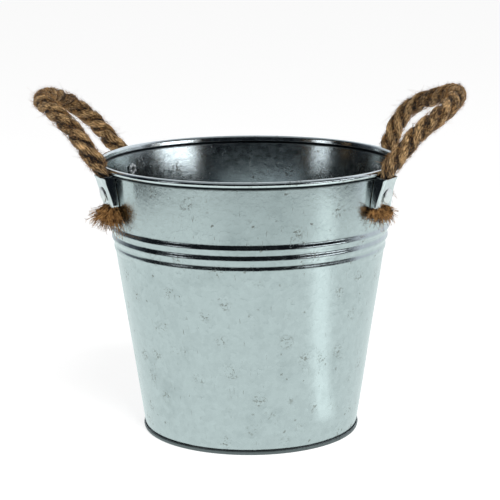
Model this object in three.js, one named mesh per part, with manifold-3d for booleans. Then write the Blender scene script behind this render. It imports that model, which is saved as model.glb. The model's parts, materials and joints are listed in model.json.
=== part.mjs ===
// Florist bucket: a tapered sheet-steel bucket with a rolled rim, three swaged beads and a
// hooked base seam, carried by two rope handles whose four ends are riveted in sheet clips.
// Millimetres, +Z up. Origin on the floor at the bucket's axis; the handles stand on -X and +X.
import * as THREE from 'three';
import { mergeVertices } from 'three/addons/utils/BufferGeometryUtils.js';
import Module from 'manifold-3d';

const wasm = await Module();
wasm.setup();

// ---- Driving dimensions -----------------------------------------------------------------
const fitGap = 0.3; // running gap left between pieces that touch
const roundSteps = 48; // facets round the bucket

// bucket body
const rimDia = 200; // outside of the rolled rim
const height = 181; // floor to the top of the rim
const baseDia = 143; // outside of the base seam, at the floor
const wallSheet = 0.6; // wall thickness
const rimRoll = 3.5; // outside diameter of the rolled rim
const beadRises = [1.1, 1.1, 0.8]; // how far each bead stands proud, highest bead first
const beadDrop = 43; // rim top down to the middle of the highest bead
const beadPitch = 6.8; // one bead to the next
const beadWidth = 6.4; // height of one bead along the wall

// base
const baseSheet = 0.8; // base pan thickness
const panRise = 5; // underside of the pan above the floor
const panCorner = 1.4; // fold between pan and its upright
const seamHeight = 3; // height of the seam outside the wall
const seamFold = 0.5; // chamfer of the seam's folds

// clips and rivets
const clipAngle = 27.5; // each clip's turn from its handle's middle, degrees
const clipSheet = 0.8; // clip thickness
const clipWidth = 17; // round the bucket
const clipDepth = 8; // out from the wall, at the mouth
const clipFootDepth = 5; // out from the wall, at the foot
const clipHeight = 20.5; // along the wall
const clipCorner = 2.6; // outer corner radius
const rivetDrop = 12.2; // clip top down to the rivet
const shankDia = 5; // rivet shank
const shankGap = 0.4; // radial clearance round the shank
const headDia = 10; // outer, flat head
const headThick = 1.1;
const clinchDia = 8.4; // inner, clinched head
const clinchThick = 1.6;
const clinchGap = 0.6; // clinched head off the curved inside of the wall
const bore = 3; // hollow in the rivet's clinched end
const boreDepth = 5;

// rope handles
const ropeDia = 13; // over its loose fibres
const bendAboveRim = 5; // bend axis of a handle above the rim top
const rimToRope = 0.8; // rope off the rim where it stands up beside it
const tuftLength = 13; // frayed end below the clip
const tuftWidth = 21;
const tuftDepth = 12;

// ---- Derived places ---------------------------------------------------------------------
const footMid = baseDia / 2 - baseSheet - fitGap - wallSheet / 2;
const topMid = rimDia / 2 - rimRoll + wallSheet / 2;
const rollCentre = new THREE.Vector2((rimDia - rimRoll) / 2, height - rimRoll / 2);
const wallSlope = (topMid - footMid) / rollCentre.y;
const clipTop = height - rimRoll - fitGap;
const rivetZ = clipTop - rivetDrop;
const bendRadius = (rimDia + ropeDia) / 2 + rimToRope;
const bendZ = height + bendAboveRim;

// Mid-sheet radius of the plain wall at a height.
function wallMid(z) {
  return footMid + wallSlope * z;
}

// ---- Solids -----------------------------------------------------------------------------
function toSolid(geometry) {
  const bare = geometry.clone();
  bare.deleteAttribute('normal');
  bare.deleteAttribute('uv');
  const merged = mergeVertices(bare, 1e-4);
  return new wasm.Manifold(new wasm.Mesh({
    numProp: 3,
    vertProperties: new Float32Array(merged.attributes.position.array),
    triVerts: new Uint32Array(merged.index.array),
  }));
}

function toGeometry(solid) {
  const mesh = solid.getMesh();
  const geometry = new THREE.BufferGeometry();
  geometry.setAttribute('position', new THREE.BufferAttribute(mesh.vertProperties, 3));
  geometry.setIndex(new THREE.BufferAttribute(mesh.triVerts, 1));
  geometry.computeVertexNormals();
  return geometry;
}

// Closed outline of a bent sheet: its mid line moved half a thickness to each side.
function sheetOutline(midLine, thickness) {
  const near = [];
  const far = [];
  midLine.forEach((point, i) => {
    const before = midLine[Math.max(i - 1, 0)];
    const after = midLine[Math.min(i + 1, midLine.length - 1)];
    const into = point.clone().sub(before).normalize();
    const out = after.clone().sub(point).normalize();
    const along = into.clone().add(out).normalize();
    const spread = Math.max(into.dot(along), out.dot(along));
    const side = new THREE.Vector2(along.y, -along.x).multiplyScalar(thickness / 2 / spread);
    near.push(point.clone().add(side));
    far.push(point.clone().sub(side));
  });
  return near.concat(far.reverse());
}

// Turns an outline of (radius, height) round the +Z axis.
function turned(outline, steps) {
  return new THREE.LatheGeometry(outline, steps).rotateX(Math.PI / 2);
}

// One closed solid through a stack of ovals, each { z, x, halfDepth, halfWidth }.
function stackedOvals(ovals, sides) {
  const unit = ovals.map((oval) => new THREE.Vector2(1, oval.z));
  const outline = [new THREE.Vector2(0, ovals[0].z), ...unit];
  outline.push(new THREE.Vector2(0, ovals[ovals.length - 1].z));
  const geometry = turned(outline, sides);
  const position = geometry.attributes.position;
  for (let i = 0; i < position.count; i += 1) {
    const z = position.getZ(i);
    const oval = ovals.find((item) => Math.abs(item.z - z) < 1e-3);
    position.setX(i, oval.x + oval.halfDepth * position.getX(i));
    position.setY(i, oval.halfWidth * position.getY(i));
  }
  return geometry;
}

// A round pin along local X, from one place to another.
function pinAlongX(diameter, from, to) {
  const pin = new THREE.CylinderGeometry(diameter / 2, diameter / 2, to - from, 16);
  return pin.rotateZ(-Math.PI / 2).translate((from + to) / 2, 0, 0);
}

// Place of one clip: local X out of the wall, Z up the wall, origin at the rivet on its face.
function clipPlace(azimuth) {
  const outward = new THREE.Vector3(1, 0, -wallSlope).normalize();
  const across = new THREE.Vector3(0, 1, 0);
  const up = new THREE.Vector3().crossVectors(outward, across);
  const place = new THREE.Matrix4().makeBasis(outward, across, up);
  place.setPosition(wallMid(rivetZ) + wallSheet / 2, 0, rivetZ);
  return place.premultiply(new THREE.Matrix4().makeRotationZ(azimuth));
}

// ---- Bucket body ------------------------------------------------------------------------
function wallMidLine() {
  const line = [new THREE.Vector2(wallMid(baseSheet + fitGap), baseSheet + fitGap)];
  const beadSteps = 4;
  for (let bead = beadRises.length - 1; bead >= 0; bead -= 1) {
    const middle = height - beadDrop - bead * beadPitch;
    for (let step = 0; step <= beadSteps; step += 1) {
      const along = (step / beadSteps - 0.5) * 2;
      const z = middle + along * beadWidth / 2;
      const proud = beadRises[bead] * Math.cos(along * Math.PI / 2) ** 2;
      line.push(new THREE.Vector2(wallMid(z) + proud, z));
    }
  }
  const rollSteps = 8;
  const rollMid = (rimRoll - wallSheet) / 2;
  const rollSweep = THREE.MathUtils.degToRad(290);
  for (let step = 0; step <= rollSteps; step += 1) {
    const angle = Math.PI - rollSweep * step / rollSteps;
    const reach = new THREE.Vector2(Math.cos(angle), Math.sin(angle)).multiplyScalar(rollMid);
    line.push(rollCentre.clone().add(reach));
  }
  return line;
}

function bucketWall(places) {
  const outline = sheetOutline(wallMidLine(), wallSheet);
  outline.push(outline[0].clone());
  let solid = toSolid(turned(outline, roundSteps));
  const reach = clipDepth / 2;
  for (const place of places) {
    const hole = pinAlongX(shankDia + 2 * shankGap, -reach, reach).applyMatrix4(place);
    solid = solid.subtract(toSolid(hole));
  }
  return toGeometry(solid);
}

function basePan() {
  const half = baseSheet / 2;
  const inner = (z) => wallMid(z) - wallSheet / 2 - fitGap - half;
  const outer = (z) => wallMid(z) + wallSheet / 2 + fitGap + half;
  const panZ = panRise + half;
  const line = [
    new THREE.Vector2(0, panZ),
    new THREE.Vector2(inner(panZ) - panCorner, panZ),
    new THREE.Vector2(inner(panZ - panCorner), panZ - panCorner),
    new THREE.Vector2(inner(half + seamFold), half + seamFold),
    new THREE.Vector2(inner(half) + seamFold, half),
    new THREE.Vector2(outer(half) - seamFold, half),
    new THREE.Vector2(outer(half + seamFold), half + seamFold),
    new THREE.Vector2(outer(seamHeight), seamHeight),
  ];
  return turned(sheetOutline(line, baseSheet), roundSteps);
}

// ---- Clips, rivets and rope, in a clip's local frame --------------------------------------
// Depth of the tapered clip at a height in its own frame.
function clipDepthAt(z) {
  return THREE.MathUtils.mapLinear(z, rivetDrop - clipHeight, rivetDrop, clipFootDepth, clipDepth);
}

function clip() {
  const side = clipWidth / 2;
  const corner = clipDepth - clipCorner;
  const quarter = Math.PI / 2;
  const inside = clipCorner - clipSheet;
  const shape = new THREE.Shape();
  shape.moveTo(0, -side);
  shape.absarc(corner, clipCorner - side, clipCorner, -quarter, 0, false);
  shape.absarc(corner, side - clipCorner, clipCorner, 0, quarter, false);
  shape.lineTo(0, side);
  shape.lineTo(0, side - clipSheet);
  shape.absarc(corner, side - clipCorner, inside, quarter, 0, true);
  shape.absarc(corner, clipCorner - side, inside, 0, -quarter, true);
  shape.lineTo(0, clipSheet - side);
  shape.closePath();
  const options = { depth: clipHeight, bevelEnabled: false, curveSegments: 2 };
  const strap = new THREE.ExtrudeGeometry(shape, options);
  strap.translate(0, 0, rivetDrop - clipHeight);
  const position = strap.attributes.position;
  for (let i = 0; i < position.count; i += 1) {
    if (position.getX(i) > fitGap) {
      position.setX(i, position.getX(i) + clipDepthAt(position.getZ(i)) - clipDepth);
    }
  }
  const hole = pinAlongX(shankDia + 2 * shankGap, clipFootDepth / 2, clipDepth * 2);
  return toGeometry(toSolid(strap).subtract(toSolid(hole)));
}

function rivet() {
  const end = -(wallSheet + clinchGap + clinchThick);
  const under = clipDepthAt(headDia / 2) + fitGap;
  const top = under + headThick;
  const edge = headThick / 3;
  const outline = [
    [0, end + boreDepth],
    [bore / 2, end + boreDepth],
    [bore / 2, end],
    [clinchDia / 2 - clinchThick / 3, end],
    [clinchDia / 2, end + clinchThick / 3],
    [clinchDia / 2, end + clinchThick],
    [shankDia / 2, end + clinchThick],
    [shankDia / 2, under],
    [headDia / 2, under],
    [headDia / 2, top - edge],
    [headDia / 2 - edge, top],
    [0, top],
  ].map(([radius, along]) => new THREE.Vector2(radius, along));
  return turned(outline, 16).rotateY(Math.PI / 2);
}

function ropeEnd() {
  const halfWidth = clipWidth / 2 - clipSheet - fitGap;
  const clipFoot = rivetDrop - clipHeight;
  const squashed = (z) => {
    const middle = (clipDepthAt(z) - clipSheet) / 2;
    return { z, x: middle, halfDepth: middle - fitGap, halfWidth };
  };
  const foot = squashed(clipFoot);
  // The tuft spreads outward and sideways, and keeps off the wall.
  const tuft = (spread, drop) => {
    const half = THREE.MathUtils.lerp(foot.halfDepth, tuftDepth / 2, spread);
    return {
      z: clipFoot - tuftLength * drop,
      x: foot.x - foot.halfDepth + fitGap * drop + half,
      halfDepth: half,
      halfWidth: THREE.MathUtils.lerp(halfWidth, tuftWidth / 2, spread),
    };
  };
  const ovals = [
    tuft(0.55, 1), tuft(0.95, 0.8), tuft(0.85, 0.5), tuft(0.25, 0.14),
    foot, squashed(rivetDrop - fitGap),
  ];
  const hole = pinAlongX(shankDia + 2 * shankGap, -clipDepth, clipDepth * 2);
  return toGeometry(toSolid(stackedOvals(ovals, 16)).subtract(toSolid(hole)));
}

// Each handle's centre line between its two bend points, front to back: millimetres outward
// and upward from the bend axis, and the share of half the span. Rope lies a little unevenly.
const handleRoutes = {
  left: [
    [-1, 0, -1], [3, 5, -0.99], [11, 15.5, -0.9], [21.5, 25, -0.78], [31.5, 31.5, -0.57],
    [37.5, 33, -0.33], [39.7, 33.2, 0], [39.7, 32.2, 0.35], [37.5, 30, 0.63],
    [30, 24.5, 0.92], [18, 14, 1.05], [8, 4, 1.02], [3.5, -0.5, 0.96],
  ],
  right: [
    [-1.5, 0, -1], [4.5, 7, -0.97], [12.5, 16.5, -0.9], [21.5, 23.5, -0.79],
    [30.5, 29.5, -0.6], [36.5, 34, -0.35], [39.3, 36.5, 0], [36.5, 35.5, 0.36],
    [28, 31.5, 0.62], [16, 26, 0.86], [6.5, 18, 0.99], [0.5, 8, 1.01], [-2.5, 0, 0.99],
  ],
};

function ropeLoop(side, route) {
  const span = THREE.MathUtils.degToRad(clipAngle);
  const footX = bendRadius * Math.cos(span);
  const footY = bendRadius * Math.sin(span);
  const points = route.map(([out, up, share]) => (
    new THREE.Vector3(side * (footX + out), share * footY, bendZ + up)));
  const section = new THREE.Shape();
  section.absarc(0, 0, ropeDia / 2, 0, 2 * Math.PI, false);
  const tube = new THREE.ExtrudeGeometry(section, {
    steps: 30, curveSegments: 5, extrudePath: new THREE.CatmullRomCurve3(points),
  });
  let solid = toSolid(tube);
  for (const foot of [points[0], points[points.length - 1]]) {
    const ball = new THREE.SphereGeometry(ropeDia / 2 * 0.97, 12, 9);
    solid = solid.add(toSolid(ball.translate(foot.x, foot.y, foot.z)));
  }
  return toGeometry(solid);
}

// ---- Assembly ---------------------------------------------------------------------------
const zinc = { color: 0xb9c6c8, roughness: 0.32, metalness: 1 };
const plated = { color: 0xd6dadb, roughness: 0.28, metalness: 1 };
const jute = { color: 0x8a6236, roughness: 0.95, metalness: 0 };

const bucket = new THREE.Group();

function add(name, geometry, finish, place) {
  const mesh = new THREE.Mesh(geometry, new THREE.MeshStandardMaterial(finish));
  mesh.name = name;
  if (place) {
    mesh.applyMatrix4(place);
  }
  bucket.add(mesh);
}

const corners = [];
for (const [sideName, middle, side] of [['left', 180, -1], ['right', 0, 1]]) {
  for (const [endName, end] of [['front', -1], ['back', 1]]) {
    const azimuth = THREE.MathUtils.degToRad(middle + side * end * clipAngle);
    corners.push({ name: `${sideName}_${endName}`, place: clipPlace(azimuth) });
  }
}

add('bucket_wall', bucketWall(corners.map((corner) => corner.place)), zinc);
add('base_pan', basePan(), zinc);
for (const { name, place } of corners) {
  add(`clip_${name}`, clip(), plated, place);
  add(`rivet_${name}`, rivet(), plated, place);
  add(`rope_end_${name}`, ropeEnd(), jute, place);
}
add('rope_loop_left', ropeLoop(-1, handleRoutes.left), jute);
add('rope_loop_right', ropeLoop(1, handleRoutes.right), jute);

export default bucket;
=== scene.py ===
"""The looks of a small florist bucket: galvanised sheet, riveted clips and jute rope handles.

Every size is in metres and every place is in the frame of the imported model. The sheet pieces
are turned and folded, the ropes are laid from three strands each, and their ends are frayed.
"""

import json
import logging
import math
import random
from dataclasses import dataclass
from enum import Enum

import bmesh
import bpy
from bpy.types import Material, Node, NodeSocket, NodeTree, Object
from mathutils import Matrix, Vector, noise


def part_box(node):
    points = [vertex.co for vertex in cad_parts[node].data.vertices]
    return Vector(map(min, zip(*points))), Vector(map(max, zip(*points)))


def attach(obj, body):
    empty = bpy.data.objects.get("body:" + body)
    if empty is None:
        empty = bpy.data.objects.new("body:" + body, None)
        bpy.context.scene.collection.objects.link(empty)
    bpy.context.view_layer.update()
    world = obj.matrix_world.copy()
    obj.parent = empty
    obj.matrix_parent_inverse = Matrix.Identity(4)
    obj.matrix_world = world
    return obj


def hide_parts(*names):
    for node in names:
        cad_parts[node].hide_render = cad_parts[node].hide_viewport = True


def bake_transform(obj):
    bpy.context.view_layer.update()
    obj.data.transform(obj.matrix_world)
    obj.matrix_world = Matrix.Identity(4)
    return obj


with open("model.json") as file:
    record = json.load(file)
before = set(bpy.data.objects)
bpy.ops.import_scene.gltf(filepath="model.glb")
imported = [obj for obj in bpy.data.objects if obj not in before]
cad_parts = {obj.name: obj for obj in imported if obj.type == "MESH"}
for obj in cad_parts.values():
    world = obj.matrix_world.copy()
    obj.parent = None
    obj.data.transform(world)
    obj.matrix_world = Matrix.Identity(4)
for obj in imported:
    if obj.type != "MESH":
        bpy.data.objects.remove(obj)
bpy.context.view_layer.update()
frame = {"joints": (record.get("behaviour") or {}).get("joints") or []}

MM = 0.001
FULL_TURN = 2 * math.pi
log = logging.getLogger("florist_bucket")


# ---- Shared sizes and frames --------------------------------------------------------------


class Side(Enum):
    """The handle a piece belongs to; the value is the sign of its X."""

    LEFT = -1
    RIGHT = 1


class End(Enum):
    """The end of a handle; the value is the sign of its Y."""

    FRONT = -1
    BACK = 1


@dataclass(frozen=True)
class BucketSizes:
    """Sizes that several pieces share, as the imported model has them."""

    rim_radius: float
    height: float
    seam_radius: float
    bend_x: float
    bend_z: float
    wall_sheet: float = 0.6 * MM
    rim_roll: float = 3.5 * MM
    base_sheet: float = 0.8 * MM
    fit_gap: float = 0.3 * MM
    seam_height: float = 3 * MM
    clip_angle: float = math.radians(27.5)
    clip_width: float = 17 * MM
    clip_depth: float = 8 * MM
    clip_foot_depth: float = 5 * MM
    clip_height: float = 20.5 * MM
    clip_sheet: float = 0.8 * MM
    rivet_drop: float = 12.2 * MM
    rope_radius: float = 6.5 * MM

    @classmethod
    def from_frame(cls) -> "BucketSizes":
        """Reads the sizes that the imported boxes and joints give.

        Returns:
            The shared sizes.
        """
        low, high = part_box("bucket_wall")
        pan_low, pan_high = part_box("base_pan")
        bend = next(joint for joint in frame["joints"] if joint["name"] == "right_handle_swing")
        return cls(
            rim_radius=(high[0] - low[0]) / 2,
            height=high[2],
            seam_radius=(pan_high[0] - pan_low[0]) / 2,
            bend_x=bend["pos_m"][0],
            bend_z=bend["pos_m"][2],
        )

    @property
    def roll_centre_z(self) -> float:
        """Height of the middle of the rolled rim."""
        return self.height - self.rim_roll / 2

    @property
    def top_mid(self) -> float:
        """Mid-sheet radius of the wall where the roll starts."""
        return self.rim_radius - self.rim_roll + self.wall_sheet / 2

    @property
    def wall_slope(self) -> float:
        """Growth of the wall's radius with height."""
        seam_mid = self.seam_radius - self.base_sheet - self.fit_gap - self.wall_sheet / 2
        return (self.top_mid - seam_mid) / (self.roll_centre_z - self.seam_height)

    @property
    def clip_top(self) -> float:
        """Height of the clips' mouths."""
        return self.height - self.rim_roll - self.fit_gap

    @property
    def rivet_z(self) -> float:
        """Height of the rivets."""
        return self.clip_top - self.rivet_drop

    def depth_at(self, z: float) -> float:
        """Depth of a tapered clip.

        Args:
            z: Height in the clip's own frame.

        Returns:
            The depth out from the wall.
        """
        share = (z - self.rivet_drop + self.clip_height) / self.clip_height
        return self.clip_foot_depth + (self.clip_depth - self.clip_foot_depth) * min(1.0, max(0.0, share))

    def wall_mid(self, z: float) -> float:
        """Mid-sheet radius of the plain wall.

        Args:
            z: Height above the floor.

        Returns:
            The radius.
        """
        return self.top_mid - self.wall_slope * (self.roll_centre_z - z)

    def clip_place(self, side: Side, end: End) -> Matrix:
        """Place of one clip: local X out of the wall, Z up along it, origin at the rivet.

        Args:
            side: The handle.
            end: The handle's end.

        Returns:
            The matrix from the clip's frame to the bucket's.
        """
        middle = 0.0 if side is Side.RIGHT else math.pi
        azimuth = middle + side.value * end.value * self.clip_angle
        outward = Vector((1, 0, -self.wall_slope)).normalized()
        across = Vector((0, 1, 0))
        place = Matrix((outward, across, outward.cross(across))).transposed().to_4x4()
        place.translation = (self.wall_mid(self.rivet_z) + self.wall_sheet / 2, 0, self.rivet_z)
        return Matrix.Rotation(azimuth, 4, "Z") @ place


# ---- Mesh and node helpers ------------------------------------------------------------------


def new_object(name: str, data: bpy.types.ID, *materials: Material) -> Object:
    """Links a new object and gives it its materials.

    Args:
        name: The piece's name.
        data: Its mesh or curve.
        *materials: Its material slots, in order.

    Returns:
        The object.
    """
    piece = bpy.data.objects.new(name, data)
    bpy.context.scene.collection.objects.link(piece)
    for material in materials:
        data.materials.append(material)
    return piece


def finish_bmesh(
    bm: bmesh.types.BMesh, name: str, *materials: Material, place: Matrix | None = None
) -> Object:
    """Places a bmesh, turns its faces outward and makes it a smooth-shaded object.

    Args:
        bm: The shape; it is freed.
        name: The piece's name.
        *materials: Its material slots.
        place: Where the shape goes, if it isn't in place already.

    Returns:
        The object.
    """
    bmesh.ops.remove_doubles(bm, verts=bm.verts, dist=1e-6)
    if place is not None:
        bmesh.ops.transform(bm, matrix=place, verts=bm.verts)
    bmesh.ops.recalc_face_normals(bm, faces=bm.faces)
    for face in bm.faces:
        face.smooth = True
    mesh = bpy.data.meshes.new(name)
    bm.to_mesh(mesh)
    bm.free()
    mesh.set_sharp_from_angle(angle=math.radians(38))
    return new_object(name, mesh, *materials)


def spun(points: list[tuple[float, float]], steps: int, closed: bool = False) -> bmesh.types.BMesh:
    """Turns an outline of (radius, height) once round the Z axis.

    Args:
        points: The outline.
        steps: Steps in the full turn.
        closed: Whether the outline's last point joins its first.

    Returns:
        The turned shape.
    """
    bm = bmesh.new()
    verts = [bm.verts.new((radius, 0, z)) for radius, z in points]
    edges = [bm.edges.new(pair) for pair in zip(verts, verts[1:])]
    if closed:
        edges.append(bm.edges.new((verts[-1], verts[0])))
    bmesh.ops.spin(
        bm, geom=verts + edges, cent=(0, 0, 0), axis=(0, 0, 1), angle=FULL_TURN,
        steps=steps, use_merge=True, use_duplicate=False,
    )
    return bm


def extrude_line(
    bm: bmesh.types.BMesh, line: list[Vector | tuple[float, ...]], rows: int, step: tuple[float, ...]
) -> None:
    """Draws a line and extrudes it into a strip, row by row.

    Args:
        bm: The mesh that the strip is added to.
        line: The first row's points.
        rows: How many rows to add.
        step: The move from each row to the next.
    """
    verts = [bm.verts.new(point) for point in line]
    edges = [bm.edges.new(pair) for pair in zip(verts, verts[1:])]
    for _ in range(rows):
        grown = bmesh.ops.extrude_edge_only(bm, edges=edges)["geom"]
        fresh = {item for item in grown if isinstance(item, bmesh.types.BMVert)}
        bmesh.ops.translate(bm, verts=list(fresh), vec=step)
        edges = [
            item for item in grown if isinstance(item, bmesh.types.BMEdge) and fresh.issuperset(item.verts)
        ]


def add_sheet(piece: Object, thickness: float) -> None:
    """Gives a single-skin piece its sheet thickness, half to each side.

    Args:
        piece: The piece.
        thickness: Sheet thickness.
    """
    solidify = piece.modifiers.new("sheet", "SOLIDIFY")
    solidify.thickness = thickness
    solidify.offset = 0
    solidify.use_even_offset = True


def arc(
    cx: float, cz: float, radius: float, start: float, end: float, steps: int
) -> list[tuple[float, float]]:
    """Points along an arc, both ends included.

    Args:
        cx: Centre, first coordinate.
        cz: Centre, second coordinate.
        radius: Radius.
        start: First angle, in degrees.
        end: Last angle, in degrees.
        steps: Steps along the arc.

    Returns:
        The points.
    """
    turns = [math.radians(start + (end - start) * step / steps) for step in range(steps + 1)]
    return [(cx + radius * math.cos(turn), cz + radius * math.sin(turn)) for turn in turns]


def linear(hex_colour: str) -> tuple[float, float, float, float]:
    """Turns an sRGB hex colour into linear RGBA.

    Args:
        hex_colour: Six hex digits.

    Returns:
        Linear red, green, blue and an alpha of 1.
    """
    shares = [int(hex_colour[i:i + 2], 16) / 255 for i in (0, 2, 4)]
    bent = [s / 12.92 if s <= 0.04045 else ((s + 0.055) / 1.055) ** 2.4 for s in shares]
    return (bent[0], bent[1], bent[2], 1.0)


def set_inputs(tree: NodeTree, node: Node, inputs: dict[str | int, object]) -> None:
    """Gives a node's input sockets their values and links.

    Args:
        tree: The node tree.
        node: The node.
        inputs: Socket to its value, or to the output socket that it is linked from.
    """
    for socket, value in inputs.items():
        if isinstance(value, NodeSocket):
            tree.links.new(value, node.inputs[socket])
        else:
            node.inputs[socket].default_value = value


def add_node(
    tree: NodeTree,
    kind: str,
    inputs: dict[str | int, object] | None = None,
    ramp: list[tuple[float, tuple[float, ...]]] | None = None,
    **settings: object,
) -> Node:
    """Adds a node with its settings, socket values and links.

    Args:
        tree: The node tree.
        kind: The node's type, without the ShaderNode that every one starts with.
        inputs: Socket to its value, or to the output socket that it is linked from.
        ramp: Stops of a colour ramp, as position and colour.
        **settings: The node's own properties.

    Returns:
        The node.
    """
    node = tree.nodes.new(f"ShaderNode{kind}")
    for name, value in settings.items():
        setattr(node, name, value)
    set_inputs(tree, node, inputs or {})
    if ramp:
        stops = node.color_ramp.elements
        while len(stops) < len(ramp):
            stops.new(1.0)
        for stop, (position, colour) in zip(stops, ramp):
            stop.position = position
            stop.color = colour
    return node


def new_material(name: str) -> tuple[Material, NodeTree, Node]:
    """Starts a material from its Principled shader.

    Args:
        name: The material's name.

    Returns:
        The material, its node tree and its shader node.
    """
    material = bpy.data.materials.new(name)
    material.use_nodes = True
    return material, material.node_tree, material.node_tree.nodes["Principled BSDF"]


# ---- Finishes -------------------------------------------------------------------------------


@dataclass(frozen=True)
class GalvanisedSheet:
    """Hot-dip galvanised mild steel: a cool grey zinc skin, finely mottled, with small scuffs.

    Zinc gives a soft, slightly blue-green mirror. Its crystals are a few millimetres across and
    differ a little in tone and gloss, and handling leaves dull specks and short scratches. The dark
    colour under the rolled rim is partly dirt and partly painted shade; on the base seam it is painted shade.
    """

    name: str = "galvanised_sheet"
    zinc: str = "bfc7c7"
    cloud: str = "8f9999"
    scuff: str = "77756b"
    # The dark colour below is partly dirt and partly painted shade under the rolled rim, and painted shade on
    # the base seam.
    grime_and_shade: str = "22272a"
    roughness: float = 0.16
    spangle: float = 3.4
    rubbed: str = "dde3e3"
    rim_shade_band: tuple[float, float] = (175.4, 177.7)
    seam_shade_top: float = 3.1
    dull_patch: tuple[float, float, float] = (16.0, -94.0, 154.0)

    def build(self) -> Material:
        """Builds the material; pattern sizes are in millimetres.

        Returns:
            The material.
        """
        material, tree, shader = new_material(self.name)
        place = add_node(tree, "TexCoord").outputs["Object"]
        mm = add_node(tree, "VectorMath", {0: place, 3: 1 / MM}, operation="SCALE").outputs[0]
        ragged = add_node(tree, "TexNoise", {"Vector": mm, "Scale": 1 / 2.5, "Detail": 3.0})
        torn = add_node(
            tree, "VectorMath", {0: ragged.outputs["Color"], 1: (3.4, 3.4, 3.4), 2: mm},
            operation="MULTIPLY_ADD",
        ).outputs[0]
        crystals = add_node(tree, "TexVoronoi", {"Vector": torn, "Scale": 1 / self.spangle})
        crystal = add_node(tree, "SeparateColor", {0: crystals.outputs["Color"]}).outputs[0]
        clouds = add_node(
            tree, "TexNoise", {"Vector": mm, "Scale": 1 / 30, "Detail": 6.0, "Roughness": 0.66}
        ).outputs[0]
        cloud_mask = add_node(
            tree, "MapRange", {0: clouds, 1: 0.5, 2: 0.72, 3: 0.0, 4: 0.25}, interpolation_type="SMOOTHSTEP"
        ).outputs[0]
        from_patch = add_node(
            tree, "VectorMath", {0: mm, 1: self.dull_patch}, operation="DISTANCE"
        ).outputs["Value"]
        patch = add_node(
            tree, "MapRange", {0: from_patch, 1: 12.0, 2: 44.0, 3: 0.75, 4: 0.0},
            interpolation_type="SMOOTHSTEP",
        ).outputs[0]
        clouded = add_node(
            tree, "Math", {0: clouds, 1: patch, 2: cloud_mask}, operation="MULTIPLY_ADD", use_clamp=True
        ).outputs[0]
        hazy = add_node(
            tree, "Mix", {0: clouded, 6: linear(self.zinc), 7: linear(self.cloud)}, data_type="RGBA"
        ).outputs[2]
        up = add_node(tree, "SeparateXYZ", {0: mm}).outputs[2]
        rub = add_node(
            tree, "MapRange", {0: up, 1: self.rim_shade_band[1], 2: self.rim_shade_band[1] + 0.2, 3: 0.0, 4: 1.0}
        ).outputs[0]
        body = add_node(tree, "Mix", {0: rub, 6: hazy, 7: linear(self.rubbed)}, data_type="RGBA").outputs[2]
        fine = add_node(
            tree, "TexNoise", {"Vector": mm, "Scale": 1 / 4.5, "Detail": 5.0, "Roughness": 0.7}
        ).outputs[0]
        mottle = add_node(tree, "Math", {0: crystal, 1: 0.35, 2: fine}, operation="MULTIPLY_ADD").outputs[0]
        tone = add_node(tree, "MapRange", {0: mottle, 1: 0.35, 2: 1.0, 3: 0.92, 4: 1.07}).outputs[0]
        toned = add_node(tree, "VectorMath", {0: body, 3: tone}, operation="SCALE").outputs[0]
        marks = self.marks(tree, mm, torn)
        dirt_and_shade = self.dirt_and_shade(tree, mm, fine)
        colour = toned
        # The second dark colour laid here is partly dirt and partly painted shade under the rolled rim, and
        # painted shade on the base seam.
        for mask, over in ((marks, self.scuff), (dirt_and_shade, self.grime_and_shade)):
            colour = add_node(tree, "Mix", {0: mask, 6: colour, 7: linear(over)}, data_type="RGBA").outputs[2]
        rough = add_node(
            tree, "MapRange", {0: mottle, 1: 0.35, 2: 1.0, 3: self.roughness - 0.04, 4: self.roughness + 0.07}
        ).outputs[0]
        for mask, added in ((rub, -0.07), (marks, 0.3), (dirt_and_shade, 0.35)):
            rough = add_node(tree, "Math", {0: mask, 1: added, 2: rough}, operation="MULTIPLY_ADD").outputs[0]
        bump = add_node(tree, "Bump", {"Height": mottle, "Strength": 0.5, "Distance": 0.16 * MM}).outputs[0]
        set_inputs(tree, shader, {"Base Color": colour, "Roughness": rough, "Normal": bump, "Metallic": 1.0})
        return material

    def dirt_and_shade(self, tree: NodeTree, mm: NodeSocket, fine: NodeSocket) -> NodeSocket:
        """Dark colour in the crevice under the rolled rim, partly dirt and partly painted shade, and painted
        shade on the base seam.

        Args:
            tree: The node tree.
            mm: Place on the piece, in millimetres.
            fine: Fine noise that makes the dirt's edge uneven.

        Returns:
            A mask, 1 where the dirt and painted shade are darkest.
        """
        low, high = self.rim_shade_band
        up = add_node(tree, "SeparateXYZ", {0: mm}).outputs[2]
        wavy = add_node(tree, "Math", {0: fine, 1: 0.8, 2: up}, operation="MULTIPLY_ADD").outputs[0]
        above = add_node(tree, "MapRange", {0: wavy, 1: low, 2: low + 1.1}).outputs[0]
        under_rim = add_node(tree, "MapRange", {0: up, 1: high - 0.4, 2: high, 3: 1.0, 4: 0.0}).outputs[0]
        crevice = add_node(tree, "Math", {0: above, 1: under_rim}, operation="MULTIPLY").outputs[0]
        # Painted shade: the base seam is darkened, up to 0.72, to stand in for the contact shade by the
        # floor.
        seam = add_node(
            tree, "MapRange", {0: wavy, 1: self.seam_shade_top + 0.2, 2: self.seam_shade_top + 0.7, 3: 0.72, 4: 0.0}
        ).outputs[0]
        return add_node(tree, "Math", {0: crevice, 1: seam}, operation="MAXIMUM").outputs[0]

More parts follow.
